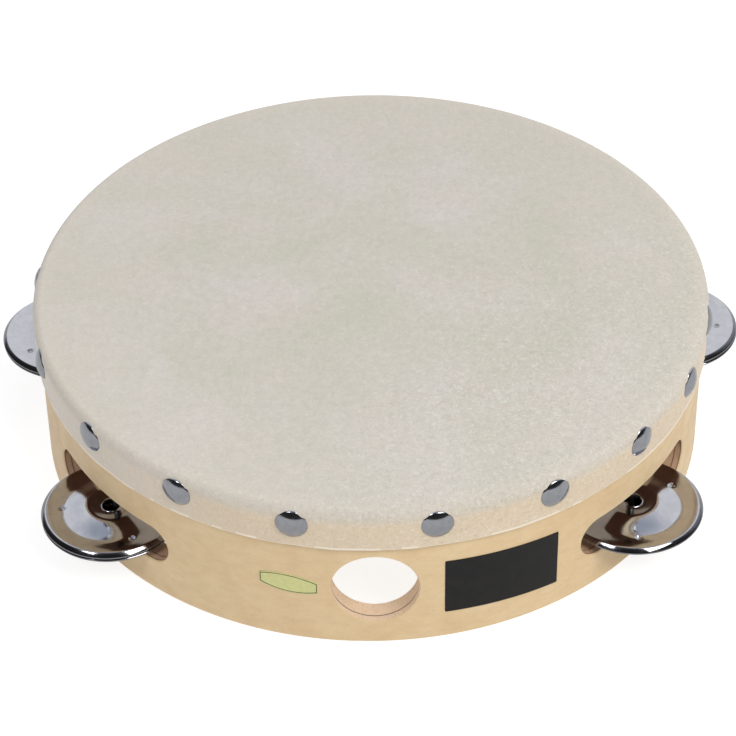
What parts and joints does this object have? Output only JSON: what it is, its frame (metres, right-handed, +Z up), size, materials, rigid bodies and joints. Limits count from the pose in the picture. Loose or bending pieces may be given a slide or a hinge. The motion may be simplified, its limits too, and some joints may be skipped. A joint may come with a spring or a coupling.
{
  "type": "tambourine",
  "caption": "Round headed tambourine: bent-wood hoop with a thumb hole, tacked skin head, and pairs of metal jingles loose on pins in slots through the wall.",
  "frame": {"origin": "middle of the footprint on the surface that the hoop's open edge stands on; the hoop's own axis stands 3 mm in front of it, at y = -0.003, because the rear jingles reach further out than the front tacks", "axes": "+Z up along the hoop's axis, out through the head; -Y towards the thumb hole; +X towards the badge"},
  "size_m": [0.2273, 0.2074, 0.05],
  "materials": {
    "wood": "satin clear-coated light maple",
    "hide": "raw calf hide, matte and lightly mottled",
    "nickel": "polished nickel plate",
    "jingle_metal": "bright nickel-plated pressed steel",
    "steel": "drawn steel wire",
    "badge": "satin black, blank",
    "sticker": "pale yellow-green, blank"
  },
  "bodies": {
    "hoop": {"hoop_inner_ply": "wood", "hoop_outer_ply": "wood", "skin_head": "hide", "tack_01": "nickel", "tack_02": "nickel", "tack_03": "nickel", "tack_04": "nickel", "tack_05": "nickel", "tack_06": "nickel", "tack_07": "nickel", "tack_08": "nickel", "tack_09": "nickel", "tack_10": "nickel", "tack_11": "nickel", "tack_12": "nickel", "tack_13": "nickel", "tack_14": "nickel", "tack_15": "nickel", "tack_16": "nickel", "tack_17": "nickel", "tack_18": "nickel", "jingle_pin_1": "steel", "jingle_pin_2": "steel", "jingle_pin_3": "steel", "jingle_pin_4": "steel", "jingle_pin_5": "steel", "jingle_pin_6": "steel", "badge": "badge", "sticker": "sticker"},
    "jingle_1_lower": {"jingle_1_lower": "jingle_metal"},
    "jingle_1_upper": {"jingle_1_upper": "jingle_metal"},
    "jingle_2_lower": {"jingle_2_lower": "jingle_metal"},
    "jingle_2_upper": {"jingle_2_upper": "jingle_metal"},
    "jingle_3_lower": {"jingle_3_lower": "jingle_metal"},
    "jingle_3_upper": {"jingle_3_upper": "jingle_metal"},
    "jingle_4_lower": {"jingle_4_lower": "jingle_metal"},
    "jingle_4_upper": {"jingle_4_upper": "jingle_metal"},
    "jingle_5_lower": {"jingle_5_lower": "jingle_metal"},
    "jingle_5_upper": {"jingle_5_upper": "jingle_metal"},
    "jingle_6_lower": {"jingle_6_lower": "jingle_metal"},
    "jingle_6_upper": {"jingle_6_upper": "jingle_metal"}
  },
  "joints": [
    {"name": "jingle_1_lower_slide", "type": "slide", "parent": "hoop", "child": "jingle_1_lower", "axis": [0, 0, 1], "range_m": [0, 0.0032]},
    {"name": "jingle_1_upper_slide", "type": "slide", "parent": "jingle_1_lower", "child": "jingle_1_upper", "axis": [0, 0, 1], "range_m": [0, 0.0032]},
    {"name": "jingle_2_lower_slide", "type": "slide", "parent": "hoop", "child": "jingle_2_lower", "axis": [0, 0, 1], "range_m": [0, 0.0032]},
    {"name": "jingle_2_upper_slide", "type": "slide", "parent": "jingle_2_lower", "child": "jingle_2_upper", "axis": [0, 0, 1], "range_m": [0, 0.0032]},
    {"name": "jingle_3_lower_slide", "type": "slide", "parent": "hoop", "child": "jingle_3_lower", "axis": [0, 0, 1], "range_m": [0, 0.0032]},
    {"name": "jingle_3_upper_slide", "type": "slide", "parent": "jingle_3_lower", "child": "jingle_3_upper", "axis": [0, 0, 1], "range_m": [0, 0.0032]},
    {"name": "jingle_4_lower_slide", "type": "slide", "parent": "hoop", "child": "jingle_4_lower", "axis": [0, 0, 1], "range_m": [0, 0.0032]},
    {"name": "jingle_4_upper_slide", "type": "slide", "parent": "jingle_4_lower", "child": "jingle_4_upper", "axis": [0, 0, 1], "range_m": [0, 0.0032]},
    {"name": "jingle_5_lower_slide", "type": "slide", "parent": "hoop", "child": "jingle_5_lower", "axis": [0, 0, 1], "range_m": [0, 0.0032]},
    {"name": "jingle_5_upper_slide", "type": "slide", "parent": "jingle_5_lower", "child": "jingle_5_upper", "axis": [0, 0, 1], "range_m": [0, 0.0032]},
    {"name": "jingle_6_lower_slide", "type": "slide", "parent": "hoop", "child": "jingle_6_lower", "axis": [0, 0, 1], "range_m": [0, 0.0032]},
    {"name": "jingle_6_upper_slide", "type": "slide", "parent": "jingle_6_lower", "child": "jingle_6_upper", "axis": [0, 0, 1], "range_m": [0, 0.0032]}
  ]
}
